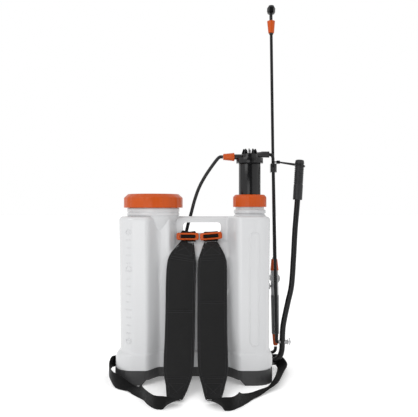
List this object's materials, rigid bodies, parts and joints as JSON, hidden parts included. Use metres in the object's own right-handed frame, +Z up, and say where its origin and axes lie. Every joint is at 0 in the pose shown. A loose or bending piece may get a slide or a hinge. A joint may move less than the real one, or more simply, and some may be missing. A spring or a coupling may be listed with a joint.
{
  "type": "knapsack sprayer",
  "caption": "Knapsack sprayer: white tank with screw lid, lever pump with air chamber, spray lance on a hose, and padded shoulder straps.",
  "frame": {"origin": "on the ground under the middle of the tank's base", "axes": "+Z up; -Y is the side against the wearer's back, with the straps; +X is the lever side"},
  "size_m": [0.5124, 0.3871, 0.9837],
  "materials": {
    "tank_plastic": "milky, slightly translucent blow-moulded polyethylene",
    "orange_plastic": "satin moulded plastic",
    "black_plastic": "satin moulded plastic",
    "base_plastic": "fine-textured moulded plastic",
    "grey_plastic": "smooth moulded plastic",
    "inner_plastic": "plain moulded plastic",
    "black_metal": "satin black paint",
    "bright_steel": "bright drawn steel",
    "seal_rubber": "black rubber",
    "hose_rubber": "smooth black hose",
    "grip_rubber": "satin black grip",
    "pad_fabric": "woven nylon over foam",
    "webbing": "ribbed polypropylene webbing"
  },
  "bodies": {
    "sprayer": {"tank": "tank_plastic", "base": "base_plastic", "base_screws": "bright_steel", "shaft_bushes": "inner_plastic", "pump_cylinder": "inner_plastic", "pump_gasket": "seal_rubber", "pump_collar": "orange_plastic", "chamber_guide": "inner_plastic", "inlet_valve_seat": "black_plastic", "intake_strainer": "black_plastic", "lance_hook": "grey_plastic", "hose": "hose_rubber", "left_pad": "pad_fabric", "right_pad": "pad_fabric", "strap_buckles": "orange_plastic", "upper_webbing": "webbing", "webbing_anchors": "orange_plastic", "left_tail": "webbing", "right_tail": "webbing", "tail_loops": "base_plastic"},
    "strainer_basket": {"strainer": "black_plastic"},
    "lid_cap": {"lid": "orange_plastic", "lid_gasket": "seal_rubber", "lid_vent_valve": "seal_rubber"},
    "pump": {"air_chamber": "black_plastic", "pump_head": "black_plastic", "head_seal": "seal_rubber", "piston_tube": "inner_plastic", "piston": "inner_plastic", "piston_cup": "seal_rubber", "outlet_nut": "orange_plastic", "outlet_hose_tail": "bright_steel"},
    "link": {"link_rod": "black_metal", "lance_clip": "black_plastic"},
    "lever": {"lever_tube": "black_metal", "lever_grip": "grip_rubber", "crank_bush": "grey_plastic", "crank_pin": "bright_steel", "crank_pin_clip": "bright_steel", "shaft_washers": "bright_steel", "shaft_split_pin": "bright_steel", "cable_tie": "black_plastic"},
    "lance": {"handle_nut": "orange_plastic", "lance_handle": "base_plastic", "handle_filter": "inner_plastic", "valve_body": "grey_plastic", "valve_spindle": "bright_steel", "valve_spring": "bright_steel", "trigger_pin": "bright_steel", "wand_nut": "orange_plastic", "wand_tube": "black_metal", "wand_seal": "seal_rubber"},
    "trigger_lever": {"trigger": "base_plastic"},
    "nozzle_head": {"nozzle_nut": "orange_plastic", "nozzle": "black_plastic"},
    "inlet_check": {"inlet_ball": "bright_steel"},
    "outlet_check": {"outlet_ball": "bright_steel"}
  },
  "joints": [
    {"name": "lever_swing", "type": "hinge", "parent": "sprayer", "child": "lever", "pos_m": [0.2, 0.04, 0.028], "axis": [1, 0, 0], "range_deg": [0, 80]},
    {"name": "pump_slide", "type": "slide", "parent": "sprayer", "child": "pump", "axis": [0, 0, -1], "range_m": [0, 0.0438]},
    {"name": "link_swing", "type": "hinge", "parent": "pump", "child": "link", "pos_m": [0.2, 0.04, 0.578], "axis": [1, 0, 0], "range_deg": [-5.7, 0]},
    {"name": "lance_tilt", "type": "hinge", "parent": "sprayer", "child": "lance", "pos_m": [0.2186, 0.063, 0.066], "axis": [1, 0, 0], "range_deg": [-25, 0]},
    {"name": "trigger_squeeze", "type": "hinge", "parent": "lance", "child": "trigger_lever", "pos_m": [0.21598, 0.083, 0.25398], "axis": [-1, 0, 0], "range_deg": [0, 12], "stiffness_Nm_per_rad": 0.6, "springref_deg": -20.05},
    {"name": "nozzle_turn", "type": "hinge", "parent": "lance", "child": "nozzle_head", "pos_m": [0.20674, 0.063, 0.92392], "axis": [-0.0138, 0, 0.9999], "continuous": true},
    {"name": "strainer_lift", "type": "slide", "parent": "sprayer", "child": "strainer_basket", "axis": [0, 0, 1], "range_m": [0, 0.13]},
    {"name": "lid_lift", "type": "slide", "parent": "strainer_basket", "child": "lid_cap", "axis": [0, 0, 1], "range_m": [0, 0.06]},
    {"name": "inlet_ball_lift", "type": "slide", "parent": "sprayer", "child": "inlet_check", "axis": [0, 0, 1], "range_m": [0, 0.002]},
    {"name": "outlet_ball_lift", "type": "slide", "parent": "pump", "child": "outlet_check", "axis": [0, 0, 1], "range_m": [0, 0.002]}
  ],
  "couplings": [
    {"joint": "pump_slide", "follows": "lever_swing", "m_per_rad": 0.031332},
    {"joint": "link_swing", "follows": "lever_swing", "ratio": -0.070646}
  ]
}
